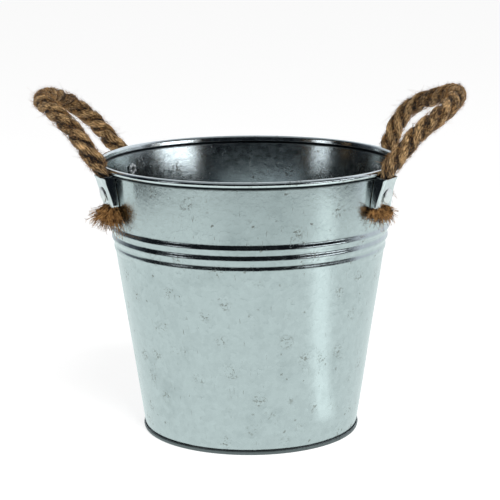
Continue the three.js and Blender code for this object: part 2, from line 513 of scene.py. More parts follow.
    def marks(self, tree: NodeTree, mm: NodeSocket, torn: NodeSocket) -> NodeSocket:
        """Clusters of short scuffs some 10 mm across, small specks, and a few long thin scratches.

        Args:
            tree: The node tree.
            mm: Place on the piece, in millimetres.
            torn: The same place, made ragged.

        Returns:
            A mask, 1 on a mark.
        """
        cells = add_node(tree, "TexVoronoi", {"Vector": mm, "Scale": 1 / 17})
        near = add_node(
            tree, "MapRange", {0: cells.outputs["Distance"], 1: 0.34, 2: 0.16, 3: 0.0, 4: 1.0}
        ).outputs[0]
        strokes = add_node(
            tree, "TexNoise", {"Vector": torn, "Scale": 1 / 1.9, "Detail": 3.0, "Roughness": 0.6}
        ).outputs[0]
        stroke = add_node(tree, "MapRange", {0: strokes, 1: 0.53, 2: 0.6, 3: 0.0, 4: 1.0}).outputs[0]
        cluster = add_node(tree, "Math", {0: near, 1: stroke}, operation="MULTIPLY").outputs[0]
        spots = add_node(tree, "TexVoronoi", {"Vector": torn, "Scale": 1 / 8})
        gate = add_node(tree, "SeparateColor", {0: spots.outputs["Color"]}).outputs[1]
        close = add_node(
            tree, "MapRange", {0: spots.outputs["Distance"], 1: 0.14, 2: 0.06, 3: 0.0, 4: 1.0}
        ).outputs[0]
        some = add_node(tree, "MapRange", {0: gate, 1: 0.55, 2: 0.7, 3: 0.0, 4: 1.0}).outputs[0]
        speck = add_node(tree, "Math", {0: close, 1: some}, operation="MULTIPLY").outputs[0]
        slanted = add_node(
            tree, "Mapping", {"Vector": mm, "Rotation": (0.3, 1.2, 0.2), "Scale": (0.9, 0.9, 0.035)}
        ).outputs[0]
        lines = add_node(tree, "TexNoise", {"Vector": slanted, "Scale": 1.0, "Detail": 2.0}).outputs[0]
        scratch = add_node(tree, "MapRange", {0: lines, 1: 0.7, 2: 0.75, 3: 0.0, 4: 0.7}).outputs[0]
        dots = add_node(tree, "Math", {0: speck, 1: scratch}, operation="MAXIMUM").outputs[0]
        both = add_node(tree, "Math", {0: cluster, 1: dots}, operation="MAXIMUM").outputs[0]
        return add_node(tree, "Math", {0: both, 1: 0.62}, operation="MULTIPLY").outputs[0]


@dataclass(frozen=True)
class PlatedSteel:
    """Bright zinc-plated steel: smooth on pressed clips, duller on tumbled rivets, whose whiter colour is
    partly their own plate and partly painted highlight for the glint on their heads.
    """

    name: str = "bright_plated_steel"
    plate: str = "d8dcdc"
    roughness: float = 0.07

    def build(self) -> Material:
        """Builds the material; the wear is mottled at about 3 mm.

        Returns:
            The material.
        """
        material, tree, shader = new_material(self.name)
        place = add_node(tree, "TexCoord").outputs["Object"]
        wear = add_node(tree, "TexNoise", {"Vector": place, "Scale": 1 / (3 * MM), "Detail": 4.0}).outputs[0]
        rough = add_node(
            tree, "MapRange", {0: wear, 1: 0.3, 2: 0.7, 3: self.roughness - 0.03, 4: self.roughness + 0.05}
        ).outputs[0]
        tone = add_node(tree, "MapRange", {0: wear, 1: 0.3, 2: 0.7, 3: 1.0, 4: 0.88}).outputs[0]
        colour = add_node(
            tree, "VectorMath", {0: linear(self.plate)[:3], 3: tone}, operation="SCALE"
        ).outputs[0]
        bump = add_node(tree, "Bump", {"Height": wear, "Strength": 0.1, "Distance": 0.1 * MM}).outputs[0]
        set_inputs(tree, shader, {"Base Color": colour, "Roughness": rough, "Normal": bump, "Metallic": 1.0})
        return material


@dataclass(frozen=True)
class JuteYarn:
    """Jute: matt golden-brown bast fibre, with painted shade in the lay between the strands.

    The fibres lie along each yarn, so the colour streaks run along the rope's own UV map, in
    millimetres round and along a strand. The "crown" attribute is 1 on the outside of the rope and
    0 deep in the lay, where the shade colour paints shade.
    """

    name: str = "jute_rope"
    straw: str = "eec48a"
    husk: str = "35200c"
    shade: str = "150b04"

    def build(self) -> Material:
        """Builds the material; its streaks are about 0.7 mm by 3.3 mm, coarser than real fibres, to show.

        Returns:
            The material.
        """
        material, tree, shader = new_material(self.name)
        strand = add_node(tree, "UVMap", uv_map="yarn").outputs[0]
        along = add_node(
            tree, "Mapping", {"Vector": strand, "Rotation": (0, 0, -0.35), "Scale": (1.5, 0.3, 1.0)}
        ).outputs[0]
        fibre = add_node(
            tree, "TexNoise", {"Vector": along, "Scale": 1.0, "Detail": 5.0, "Roughness": 0.65}
        ).outputs[0]
        place = add_node(tree, "TexCoord").outputs["Object"]
        patch = add_node(
            tree, "TexNoise", {"Vector": place, "Scale": 1 / (14 * MM), "Detail": 5.0}
        ).outputs[0]
        streak = add_node(tree, "MapRange", {0: fibre, 1: 0.42, 2: 0.62}).outputs[0]
        shift = add_node(tree, "MapRange", {0: patch, 1: 0.35, 2: 0.65, 3: -0.38, 4: 0.32}).outputs[0]
        mixed = add_node(tree, "Math", {0: streak, 1: shift}, operation="ADD", use_clamp=True).outputs[0]
        dry = add_node(
            tree, "Mix", {0: mixed, 6: linear(self.husk), 7: linear(self.straw)}, data_type="RGBA"
        ).outputs[2]
        # Painted shade: the shade colour darkens the rope where the crown attribute is low, deep in the lay
        # between the strands.
        crown = add_node(tree, "Attribute", attribute_name="crown").outputs["Fac"]
        depth = add_node(tree, "MapRange", {0: crown, 1: 0.3, 2: 0.95}).outputs[0]
        colour = add_node(tree, "Mix", {0: depth, 6: linear(self.shade), 7: dry}, data_type="RGBA").outputs[2]
        bump = add_node(tree, "Bump", {"Height": fibre, "Strength": 1.0, "Distance": 0.8 * MM}).outputs[0]
        set_inputs(tree, shader, {
            "Base Color": colour, "Normal": bump, "Roughness": 0.92, "Specular IOR Level": 0.25,
            "Sheen Weight": 0.1, "Sheen Roughness": 0.6,
        })
        return material


@dataclass(frozen=True)
class LooseFibre:
    """Single jute fibres that have worked loose: paler and slightly glossy, each its own tone."""

    name: str = "loose_jute_fibre"
    pale: str = "bb8d57"
    dark: str = "2c1909"

    def build(self) -> Material:
        """Builds the material; the tone changes over about 3 mm.

        Returns:
            The material.
        """
        material, tree, shader = new_material(self.name)
        place = add_node(tree, "TexCoord").outputs["Object"]
        patch = add_node(tree, "TexNoise", {"Vector": place, "Scale": 1 / (3 * MM), "Detail": 3.0}).outputs[0]
        mask = add_node(tree, "MapRange", {0: patch, 1: 0.35, 2: 0.62}).outputs[0]
        colour = add_node(
            tree, "Mix", {0: mask, 6: linear(self.dark), 7: linear(self.pale)}, data_type="RGBA"
        ).outputs[2]
        set_inputs(tree, shader, {"Base Color": colour, "Roughness": 0.75, "Specular IOR Level": 0.3})
        return material


# ---- Bucket body ------------------------------------------------------------------------------


@dataclass
class BucketBody:
    """The wall with its beads, rolled rim and lock seam, and the base pan hooked round its foot."""

    sizes: BucketSizes
    bead_rises: tuple[float, ...] = (0.6 * MM, 1.05 * MM, 1.25 * MM)
    bead_drop: float = 43.5 * MM
    bead_pitch: float = 6.8 * MM
    bead_width: float = 6.4 * MM
    pan_rise: float = 5 * MM
    seam_turn: float = math.radians(172)
    seam_width: float = 4.5 * MM
    steps: int = 256

    def wall_line(self) -> list[tuple[float, float]]:
        """The wall's mid line, from its foot up over the beads and round the rolled rim.

        Returns:
            Points of (radius, height).
        """
        s = self.sizes
        foot = s.base_sheet + s.fit_gap
        from_lowest = reversed(range(len(self.bead_rises)))
        beads = [s.height - self.bead_drop - i * self.bead_pitch for i in from_lowest]
        line = [(s.wall_mid(foot + 0.2 * MM * i), foot + 0.2 * MM * i) for i in range(2)]
        line += self.plain_stretch(foot + 1 * MM, beads[0] - self.bead_width / 2, 24)
        bead_steps = 14
        for middle, rise in zip(beads, self.bead_rises):
            for step in range(bead_steps + 1):
                along = step / bead_steps * 2 - 1
                z = middle + along * self.bead_width / 2
                line.append((s.wall_mid(z) + rise * math.cos(along * math.pi / 2) ** 2, z))
        line += self.plain_stretch(beads[-1] + self.bead_width / 2 + 1 * MM, s.roll_centre_z - 2 * MM, 10)
        roll = (s.rim_roll - s.wall_sheet) / 2
        line += arc(s.rim_radius - s.rim_roll / 2, s.roll_centre_z, roll, 180, -112, 24)
        return line

    def plain_stretch(self, low: float, high: float, steps: int) -> list[tuple[float, float]]:
        """Points up the plain wall between two heights."""
        heights = [low + (high - low) * step / steps for step in range(steps + 1)]
        return [(self.sizes.wall_mid(z), z) for z in heights]

    def wall(self, finish: Material) -> Object:
        """Turns the wall, lets it wander by a few hundredths of a millimetre, and gives it its sheet.

        Args:
            finish: The wall's material.

        Returns:
            The wall.
        """
        bm = spun(self.wall_line(), self.steps)
        for vert in bm.verts:
            outward = Vector((vert.co.x, vert.co.y, 0)).normalized()
            wave = noise.noise(vert.co / (38 * MM)) * 0.16 + noise.noise(vert.co / (15 * MM)) * 0.04
            fade = min(1.0, max(0.0, (self.sizes.roll_centre_z - vert.co.z) / (12 * MM)))
            vert.co += outward * wave * fade * MM
        wall = finish_bmesh(bm, "bucket_wall_sheet", finish)
        add_sheet(wall, self.sizes.wall_sheet)
        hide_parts("bucket_wall")
        return wall

    def lock_seam(self, finish: Material) -> Object:
        """The wall's folded side seam, a flat strip that follows the wall over its beads.

        Args:
            finish: The wall's material.

        Returns:
            The seam strip.
        """
        s = self.sizes
        line = [(radius + 0.55 * MM, z) for radius, z in self.wall_line() if s.seam_height < z < s.clip_top]
        half = self.seam_width / 2
        bm = bmesh.new()
        columns = 4
        step = (0, self.seam_width / columns, 0)
        extrude_line(bm, [(radius, -half, z) for radius, z in line], columns, step)
        strip = finish_bmesh(bm, "wall_lock_seam", finish, place=Matrix.Rotation(self.seam_turn, 4, "Z"))
        add_sheet(strip, 0.5 * MM)
        return strip

    def base(self, finish: Material) -> Object:
        """Turns the base pan: a disc with a shallow ring, and an edge folded up round the wall's foot.

        Args:
            finish: The base's material.

        Returns:
            The base pan.
        """
        s = self.sizes
        half = s.base_sheet / 2
        reach = s.wall_sheet / 2 + s.fit_gap + half
        pan_z = self.pan_rise + half
        inner = s.wall_mid(pan_z) - reach
        fold = 0.9 * MM
        line = [(0, pan_z), (inner * 0.3, pan_z), (inner * 0.6, pan_z), (inner * 0.8, pan_z)]
        line += [(inner * 0.82, pan_z - 0.3 * MM), (inner * 0.84, pan_z - 0.3 * MM), (inner * 0.86, pan_z)]
        line += arc(inner - 1.4 * MM, pan_z - 1.4 * MM, 1.4 * MM, 90, 0, 5)
        low_in = s.wall_mid(half + fold) - reach
        low_out = s.wall_mid(half + fold) + reach
        line += arc(low_in + fold, half + fold, fold, 180, 270, 5)
        line += arc(low_out - fold, half + fold, fold, 270, 360, 6)
        line += [(s.wall_mid(2.2 * MM) + reach + 0.1 * MM, 2.2 * MM)]
        line += [(s.wall_mid(s.seam_height) + reach - 0.2 * MM, s.seam_height)]
        pan = finish_bmesh(spun(line, self.steps), "base_pan_and_seam", finish)
        add_sheet(pan, s.base_sheet)
        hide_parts("base_pan")
        return pan

    def build(self, finish: Material) -> None:
        """Builds the body's pieces and fixes them to the bucket.

        Args:
            finish: Galvanised sheet.
        """
        for piece in (self.wall(finish), self.lock_seam(finish)):
            ride_bucket(piece)
        pan = self.base(finish)
        ride_bucket(pan)


def ride_bucket(piece: Object) -> None:
    """Fixes a finished piece to the bucket's body and logs it."""
    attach(piece, "bucket")
    log.info("%s rides on bucket", piece.name)


# ---- Clips and rivets --------------------------------------------------------------------------


@dataclass
class RivetedClip:
    """One U-shaped sheet clip over a rope end, and the tubular rivet that holds both to the wall."""

    sizes: BucketSizes
    side: Side
    end: End
    corner: float = 2.4 * MM
    lip: float = 0.7 * MM
    lip_start: float = 0.86
    pinch: float = 0.45 * MM
    head_radius: float = 5 * MM
    head_thick: float = 1.1 * MM
    shank_radius: float = 2.5 * MM
    clinch_radius: float = 4.2 * MM
    clinch_petals: int = 6
    petal_draw: float = 0.13

    @property
    def label(self) -> str:
        """The clip's place as words, such as left_front."""
        return f"{self.side.name}_{self.end.name}".lower()

    def section(self) -> list[tuple[float, float]]:
        """Mid line of the clip's U in its local XY plane, from one wall edge to the other.

        Returns:
            Points of (out, across).
        """
        s = self.sizes
        half = s.clip_sheet / 2
        side = s.clip_width / 2 - half
        front = s.clip_depth - half
        bend = self.corner - half
        line = [(front * share, -side) for share in (0, 0.2, 0.4)]
        line += arc(front - bend, -side + bend, bend, -90, 0, 6)
        line += [(front, side * share) for share in (-0.4, -0.2, 0, 0.2, 0.4)]
        line += arc(front - bend, side - bend, bend, 0, 90, 6)
        line += [(front * share, side) for share in (0.4, 0.2, 0)]
        return line

    def clip(self, finish: Material) -> Object:
        """Folds the clip, flares its mouth and draws its face in at the rivet.

        Args:
            finish: Plated steel.

        Returns:
            The clip.
        """
        s = self.sizes
        foot = s.rivet_drop - s.clip_height
        rows = 16
        bm = bmesh.new()
        extrude_line(bm, [(*point, foot) for point in self.section()], rows, (0, 0, s.clip_height / rows))
        for vert in bm.verts:
            out = vert.co.x / s.clip_depth
            up = (vert.co.z - foot) / s.clip_height
            flare = max(0.0, up - self.lip_start) / (1 - self.lip_start)
            from_rivet = Vector((vert.co.y, vert.co.z)).length
            vert.co.x += out * (s.depth_at(vert.co.z) - s.clip_depth + self.lip * flare)
            vert.co.x -= out * self.pinch * math.exp(-((from_rivet / (6 * MM)) ** 2))
            vert.co.y *= 1 + 0.03 * math.sin(up * math.pi)
        clip = finish_bmesh(bm, f"rope_clip_{self.label}", finish, place=s.clip_place(self.side, self.end))
        add_sheet(clip, s.clip_sheet)
        bevel = clip.modifiers.new("edges", "BEVEL")
        bevel.width = 0.18 * MM
        bevel.segments = 2
        bevel.limit_method = "ANGLE"
        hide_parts(f"clip_{self.label}")
        return clip

    def rivet(self, finish: Material) -> Object:
        """Turns the rivet: a flat head outside, a shank, and a tube end rolled back in petals inside.

        Args:
            finish: Plated steel.

        Returns:
            The rivet.
        """
        s = self.sizes
        under = s.depth_at(0) + 0.35 * MM - self.pinch * 0.6
        top = under + self.head_thick
        inside = -(s.wall_sheet + 0.35 * MM)
        roll = 0.6 * MM
        bore = 1.5 * MM
        line = [(0, inside + 2.6 * MM), (bore, inside + 2.6 * MM), (bore, inside - roll)]
        line += arc(bore + roll, inside - roll, roll, 180, 270, 4)
        line += arc(self.clinch_radius - roll, inside - roll, roll, 270, 450, 8)
        line += [(self.shank_radius, inside), (self.shank_radius, under)]
        line += [(self.head_radius - 0.3 * MM, under)]
        line += arc(self.head_radius - 0.45 * MM, under + 0.45 * MM, 0.45 * MM, -60, 70, 6)
        line += [(self.head_radius * 0.72, top - 0.02 * MM), (self.head_radius * 0.4, top + 0.05 * MM)]
        line += [(0, top + 0.07 * MM)]
        bm = spun(line, 48)
        for vert in bm.verts:
            radius = math.hypot(vert.co.x, vert.co.y)
            if vert.co.z < inside and radius > bore * 1.05:
                turn = math.atan2(vert.co.y, vert.co.x)
                petal = abs(math.cos(turn * self.clinch_petals / 2))
                share = (radius - bore) / (self.clinch_radius - bore)
                vert.co.z += (1 - petal) ** 2 * roll * share * 0.9
                vert.co.x *= 1 - self.petal_draw * (1 - petal) * share
                vert.co.y *= 1 - self.petal_draw * (1 - petal) * share
        place = s.clip_place(self.side, self.end) @ Matrix.Rotation(math.pi / 2, 4, "Y")
        rivet = finish_bmesh(bm, f"tubular_rivet_{self.label}", finish, place=place)
        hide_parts(f"rivet_{self.label}")
        return rivet

    def build(self, clip_steel: Material, rivet_steel: Material) -> None:
        """Builds the clip and its rivet and fixes them to the bucket.

        Args:
            clip_steel: The clip's finish.
            rivet_steel: The rivet's finish.
        """
        for piece in (self.clip(clip_steel), self.rivet(rivet_steel)):
            ride_bucket(piece)


# ---- Rope handles --------------------------------------------------------------------------------


@dataclass(frozen=True)
class Ring:
    """One station along a rope: its centre, its directions, its half sizes and its distance along."""

    centre: Vector
    along: Vector
    out: Vector
    across: Vector
    half_out: float
    half_across: float
    distance: float


def catmull(points: list[Vector], steps: int) -> list[Vector]:
    """A centripetal Catmull-Rom curve through the points.

    Args:
        points: The points.
        steps: Steps between each two points.

    Returns:
        Points along the curve.
    """
    first = points[0] * 2 - points[1]
    last = points[-1] * 2 - points[-2]
    padded = [first, *points, last]
    curve = []
    for p0, p1, p2, p3 in zip(padded, padded[1:], padded[2:], padded[3:]):
        d0, d1, d2 = ((b - a).length ** 0.5 for a, b in ((p0, p1), (p1, p2), (p2, p3)))
        t1 = ((p1 - p0) / d0 - (p2 - p0) / (d0 + d1) + (p2 - p1) / d1) * d1
        t2 = ((p2 - p1) / d1 - (p3 - p1) / (d1 + d2) + (p3 - p2) / d2) * d1
        for step in range(steps):
            t = step / steps
            curve.append(
                p1 + t1 * t + (p2 * 3 - p1 * 3 - t1 * 2 - t2) * t ** 2 + (p1 * 2 - p2 * 2 + t1 + t2) * t ** 3
            )
    curve.append(points[-1].copy())
    return curve


# How far a frayed end leans out from the wall, and how long its yarns are beside the usual.
FRAY_LEAN = {End.FRONT: 0.45, End.BACK: 0.05}
FRAY_FULLNESS = {Side.LEFT: 1.35, Side.RIGHT: 0.9}
STRANDS = 3


@dataclass
class RopeHandle:
    """One three-strand laid rope, clamped in two clips, with loose fibres and frayed ends."""

    sizes: BucketSizes
    side: Side
    route: list[tuple[float, float, float]]
    seed: int
    laid_radius: float = 6.1 * MM
    ring_step: float = 0.62 * MM
    lay: float = 38 * MM
    yarn_lay: float = 42 * MM
    strand_share: float = 0.6
    strand_sides: int = 44
    fuzz_count: int = 4200
    tuft_locks: int = 60
    lock_fibres: int = 12
    fuzz_radius: float = 0.085 * MM
    yarn_radius: float = 0.3 * MM
    wisp_radius: float = 0.1 * MM
    wisps: int = 3

    @property
    def label(self) -> str:
        """The handle's side in lower case."""
        return self.side.name.lower()

    @property
    def body(self) -> str:
        """Name of the handle's moving body; only the log reads it."""
        return f"{self.label}_handle"

    def bend_points(self) -> dict[End, Vector]:
        """The two points where the rope bends above its clips."""
        span = self.sizes.bend_x * math.tan(self.sizes.clip_angle)
        x = self.side.value * self.sizes.bend_x
        return {end: Vector((x, end.value * span, self.sizes.bend_z)) for end in End}

    def in_clip(self, end: End) -> list[Vector]:
        """Centres of the squashed stretch in a clip, foot to mouth.

        Args:
            end: The rope's end.

        Returns:
            The centres.
        """
        s = self.sizes
        place = s.clip_place(self.side, end)
        foot = s.rivet_drop - s.clip_height
        heights = (foot - 3 * MM, foot + 6 * MM, 0.0, s.rivet_drop - 2 * MM)
        return [place @ Vector(((s.depth_at(z) - s.clip_sheet) / 2, 0, z)) for z in heights]

    def rings(self) -> list[Ring]:
        """Evenly spaced stations along the whole rope, clip foot to clip foot.

        Returns:
            The stations.
        """
        s = self.sizes
        bends = self.bend_points()
        span = bends[End.BACK].y
        front = self.in_clip(End.FRONT)
        back = list(reversed(self.in_clip(End.BACK)))
        free = [
            Vector((self.side.value * (s.bend_x + out * MM), share * span, s.bend_z + up * MM))
            for out, up, share in self.route
        ]
        points = front + free + back
        fine = catmull(points, 24)
        lengths = [0.0]
        for a, b in zip(fine, fine[1:]):
            lengths.append(lengths[-1] + (b - a).length)
        count = round(lengths[-1] / self.ring_step)
        centres, at = [], 0
        for i in range(count + 1):
            target = lengths[-1] * i / count
            while at < len(fine) - 2 and lengths[at + 1] < target:
                at += 1
            share = (target - lengths[at]) / max(lengths[at + 1] - lengths[at], 1e-9)
            centres.append(fine[at].lerp(fine[at + 1], min(1.0, share)))
        return self.framed(centres, lengths[-1] / count)

    def framed(self, centres: list[Vector], step: float) -> list[Ring]:
        """Gives each centre its directions and half sizes.

        Args:
            centres: The centres.
            step: Distance between them.

        Returns:
            The stations.
        """
        s = self.sizes
        flat_across = s.clip_width / 2 - s.clip_sheet - 0.25 * MM
        outs = {end: s.clip_place(self.side, end).to_3x3() @ Vector((1, 0, 0)) for end in End}
        rings = []
        for i, centre in enumerate(centres):
            along = (centres[min(i + 1, len(centres) - 1)] - centres[max(i - 1, 0)]).normalized()
            end = End.FRONT if i < len(centres) / 2 else End.BACK
            share = i / (len(centres) - 1)
            hint = outs[End.FRONT].lerp(outs[End.BACK], share * share * (3 - 2 * share))
            out = (hint - along * hint.dot(along)).normalized()
            free = min(1.0, max(0.0, (centre.z - (s.clip_top - 1.5 * MM)) / (s.bend_z - s.clip_top)))
            free = free * free * (3 - 2 * free)
            flat_out = (s.depth_at(centre.z - s.rivet_z) - s.clip_sheet) / 2 - 0.25 * MM
            rings.append(Ring(
                centre=centre,
                along=along,
                out=out,
                across=along.cross(out),
                half_out=flat_out + (self.laid_radius - flat_out) * free,
                half_across=flat_across + (self.laid_radius - flat_across) * free,
                distance=i * step,
            ))
        return rings

    def surface_point(self, ring: Ring, strand: int, turn: float) -> tuple[Vector, float]:
        """A point on one strand's surface.

        Args:
            ring: The station.
            strand: Which of the strands.
            turn: Angle round the strand.

        Returns:
            The point, and how far out it lies as a share of the rope's radius.
        """
        share = self.strand_share
        at = ring.distance
        lay_turn = FULL_TURN * (strand / STRANDS - at / self.lay)
        wander = 0.04 * noise.noise(Vector((at / (9 * MM), strand * 7.3, self.seed)))
        # Yarns run round each strand against the rope's lay.
        yarn_turn = turn - lay_turn + FULL_TURN * at / self.yarn_lay
        across = Vector((math.cos(yarn_turn), math.sin(yarn_turn)))
        coarse, fine, hair = (
            noise.noise(Vector((
                across.x * rate, across.y * rate, at / (length * MM) + strand * shift + self.seed * salt
            )))
            for rate, length, shift, salt in ((1.7, 14, 9, 1), (4.2, 6, 5, 3), (9.0, 3.5, 3, 0))
        )
        radius = share * (0.97 + 0.08 * coarse + 0.11 * fine + 0.08 * hair)
        offset = 0.97 - share + wander
        x = offset * math.cos(lay_turn) + radius * math.cos(turn)
        y = offset * math.sin(lay_turn) + radius * math.sin(turn)
        point = ring.centre + ring.out * (x * ring.half_out) + ring.across * (y * ring.half_across)
        return point, math.hypot(x, y) + 0.35 * (fine * 0.5 + hair * 0.4)

    def rope(self, rings: list[Ring], finish: Material) -> Object:
        """Lays the three strands as closed tubes with a UV map in millimetres.

        Args:
            rings: The stations.
            finish: Jute yarn.

        Returns:
            The rope.
        """
        sides = self.strand_sides
        verts: list[Vector] = []
        faces: list[list[int]] = []
        crowns: list[float] = []
        places: list[tuple[float, float]] = []
        for strand in range(STRANDS):
            base = len(verts)
            for ring in rings:
                for k in range(sides):
                    point, reach = self.surface_point(ring, strand, FULL_TURN * k / sides)
                    verts.append(point)
                    # The crown value, 0 deep in the lay and 1 on the outside, drives the painted shade in the
                    # yarn material.
                    crowns.append(min(1.0, max(0.0, (reach - 0.62) / 0.4)))
                    girth = FULL_TURN * self.laid_radius * self.strand_share / MM
                    places.append((girth * k / sides, ring.distance / MM + strand * 400))
            for i in range(len(rings) - 1):
                for k in range(sides):
                    a, b = base + i * sides + k, base + i * sides + (k + 1) % sides
                    faces.append([a, b, b + sides, a + sides])
            faces.append([base + k for k in reversed(range(sides))])
            faces.append([base + (len(rings) - 1) * sides + k for k in range(sides)])
        mesh = bpy.data.meshes.new(f"rope_{self.label}")
        mesh.from_pydata(verts, [], faces)
        mesh.polygons.foreach_set("use_smooth", [True] * len(mesh.polygons))
        crown = mesh.attributes.new("crown", "FLOAT", "POINT")
        crown.data.foreach_set("value", crowns)
        uv = mesh.uv_layers.new(name="yarn")
        for loop, place in zip(mesh.loops, uv.data):
            place.uv = places[loop.vertex_index]
        rope = new_object(f"rope_{self.label}", mesh, finish)
        bm = bmesh.new()
        bm.from_mesh(mesh)
        bmesh.ops.recalc_face_normals(bm, faces=bm.faces)
        bm.to_mesh(mesh)
        bm.free()
        return rope

    def loose_fibres(self, rings: list[Ring], finish: Material) -> Object:
        """Scatters short fibres that stand off the free stretch of the rope.

        Args:
            rings: The stations.
            finish: Loose fibre.

        Returns:
            The fibres, one mesh.
        """
        rng = random.Random(self.seed)
        free = [ring for ring in rings if ring.centre.z > self.sizes.height]
        lines = []
        for _ in range(self.fuzz_count):
            ring = rng.choice(free)
            turn = rng.uniform(0, FULL_TURN)
            away = ring.out * math.cos(turn) + ring.across * math.sin(turn)
            start = ring.centre + away * self.laid_radius * rng.uniform(0.82, 0.98)
            side = away.cross(ring.along)
            lean = ring.along * rng.choice((-1, 1)) * rng.uniform(0.6, 1.6) + side * rng.uniform(-0.9, 0.9)
            heading = (away * rng.uniform(0.15, 1.0) + lean).normalized()
            length = (rng.uniform(1.6, 3.6) if rng.random() < 0.93 else rng.uniform(4, 8)) * MM
            curl = Vector([rng.uniform(-1, 1) for _ in range(3)]) * 0.5
            points = []
            for step in range(4):
                t = step / 3
                points.append(start + (heading * t + curl * t * t - away * 0.25 * t * t) * length)
            lines.append((points, self.fuzz_radius))
        return fibre_mesh(f"rope_fuzz_{self.label}", lines, finish)

    def tuft(self, end: End, finish: Material) -> Object:
        """The frayed rope end below a clip: yarns that spread and curl, thick ones over thin ones.

        Args:
            end: The rope's end.
            finish: Loose fibre.

        Returns:
            The tuft.
        """
        s = self.sizes
        rng = random.Random(self.seed * 10 + end.value)
        place = s.clip_place(self.side, end)
        foot = s.rivet_drop - s.clip_height
        middle = (s.clip_foot_depth - s.clip_sheet) / 2
        lean = FRAY_LEAN[end]
        fullness = FRAY_FULLNESS[self.side]
        lines = []
        for _ in range(self.tuft_locks):
            turn = rng.uniform(0, FULL_TURN)
            reach = math.sqrt(rng.random())
            root = Vector((
                middle + 1.8 * MM * reach * math.cos(turn), 7 * MM * reach * math.sin(turn), foot + 2 * MM
            ))
            fan = Vector((lean + 0.3 * math.cos(turn) * reach, 0.6 * math.sin(turn) * reach, -1))
            lock_length = rng.uniform(9, 13.5) * MM * fullness
            curl = Vector((rng.uniform(-0.35, 0.2), rng.uniform(-0.35, 0.35), rng.uniform(-0.1, 0.25)))
            for _ in range(self.lock_fibres):
                stray = Vector([rng.gauss(0, 0.13) for _ in range(3)])
                start = root + Vector((rng.gauss(0, 0.5) * MM, rng.gauss(0, 0.8) * MM, 0))
                length = lock_length * rng.uniform(0.65, 1.12)
                heading = (fan + stray).normalized()
                points = []
                for step in range(5):
                    t = step / 4
                    point = start + (heading * t + (curl + stray) * t ** 2.2) * length
                    point.x = max(point.x, 0.5 * MM + 1.3 * MM * t)
                    points.append(place @ point)
                lines.append((points, self.yarn_radius))
                for _ in range(self.wisps):
                    root_at = rng.choice(points[1:])
                    astray = Vector([rng.gauss(0, 1) for _ in range(3)]).normalized()
                    astray = astray * rng.uniform(1.2, 3.0) * MM
                    bow = Vector([rng.gauss(0, 0.3) for _ in range(3)]) * MM
                    wisp = [root_at, root_at + astray * 0.5 + bow, root_at + astray]
                    lines.append((wisp, self.wisp_radius))
        tuft = fibre_mesh(f"frayed_end_{self.label}_{end.name.lower()}", lines, finish)
        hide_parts(f"rope_end_{self.label}_{end.name.lower()}")
        return tuft

    def build(self, yarn: Material, fibre: Material) -> None:
        """Builds the handle: the rope and its fuzz, baked in the bucket's frame, and the tufts, fixed to the
        bucket.

        Args:
            yarn: Material of the laid rope.
            fibre: Material of loose fibres.
        """
        s = self.sizes
        rings = self.rings()
        rope = self.rope(rings, yarn)
        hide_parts(f"rope_loop_{self.label}")
        fuzz = self.loose_fibres(rings, fibre)
        for piece in (rope, fuzz):
            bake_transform(piece)
            log.info("%s bends from bucket to %s", piece.name, self.body)
        mouth = s.clip_place(self.side, End.FRONT) @ Vector((0, 0, s.rivet_drop))
        for end in End:
            ride_bucket(self.tuft(end, fibre))


def fibre_mesh(name: str, lines: list[tuple[list[Vector], float]], finish: Material
) -> Object:
    """Makes many fine tapered fibres as one mesh, four faces round.

    Args:
        name: The piece's name.
        lines: The fibres' centre lines, each with the radius at its root.
        finish: Its material.

    Returns:
        The object.
    """
    curve = bpy.data.curves.new(name, "CURVE")
    curve.dimensions = "3D"
    curve.bevel_depth = 1.0
    curve.bevel_resolution = 0
    curve.use_fill_caps = True
    for points, radius in lines:
        spline = curve.splines.new("POLY")
        spline.points.add(len(points) - 1)
        for i, (slot, point) in enumerate(zip(spline.points, points)):
            slot.co = (*point, 1)
            slot.radius = radius * (1 - 0.65 * i / (len(points) - 1))
    drawn = bpy.data.objects.new(name, curve)
    bpy.context.scene.collection.objects.link(drawn)
    depsgraph = bpy.context.evaluated_depsgraph_get()
    mesh = bpy.data.meshes.new_from_object(drawn.evaluated_get(depsgraph))
    bpy.data.objects.remove(drawn)
    bpy.data.curves.remove(curve)
    mesh.materials.clear()
    mesh.name = name
    return new_object(name, mesh, finish)


# Centre lines between the bend points, front to back: millimetres out and up, share of the span.
LEFT_ROUTE = [
    (-1, 0, -1), (3, 5, -0.99), (11, 15.5, -0.9), (21.5, 25, -0.78), (31.5, 31.5, -0.57),
    (37.5, 33, -0.33), (39.7, 33.2, 0), (39.7, 32.2, 0.35), (37.5, 30, 0.63),
    (30, 24.5, 0.92), (18, 14, 1.05), (8, 4, 1.02), (3.5, -0.5, 0.96),
]
RIGHT_ROUTE = [
    (-1.5, 0, -1), (4.5, 7, -0.97), (12.5, 16.5, -0.9), (21.5, 23.5, -0.79),
    (30.5, 29.5, -0.6), (36.5, 34, -0.35), (39.3, 36.5, 0), (36.5, 35.5, 0.36),
    (28, 31.5, 0.62), (16, 26, 0.86), (6.5, 18, 0.99), (0.5, 8, 1.01), (-2.5, 0, 0.99),
]


# ---- Studio ----------------------------------------------------------------------------------------


@dataclass(frozen=True)
class Softbox:
    """A bright patch of the room: bearings from the camera's, elevations and brightness."""

    bearings: tuple[float, float]
    elevations: tuple[float, float]
    strength: float


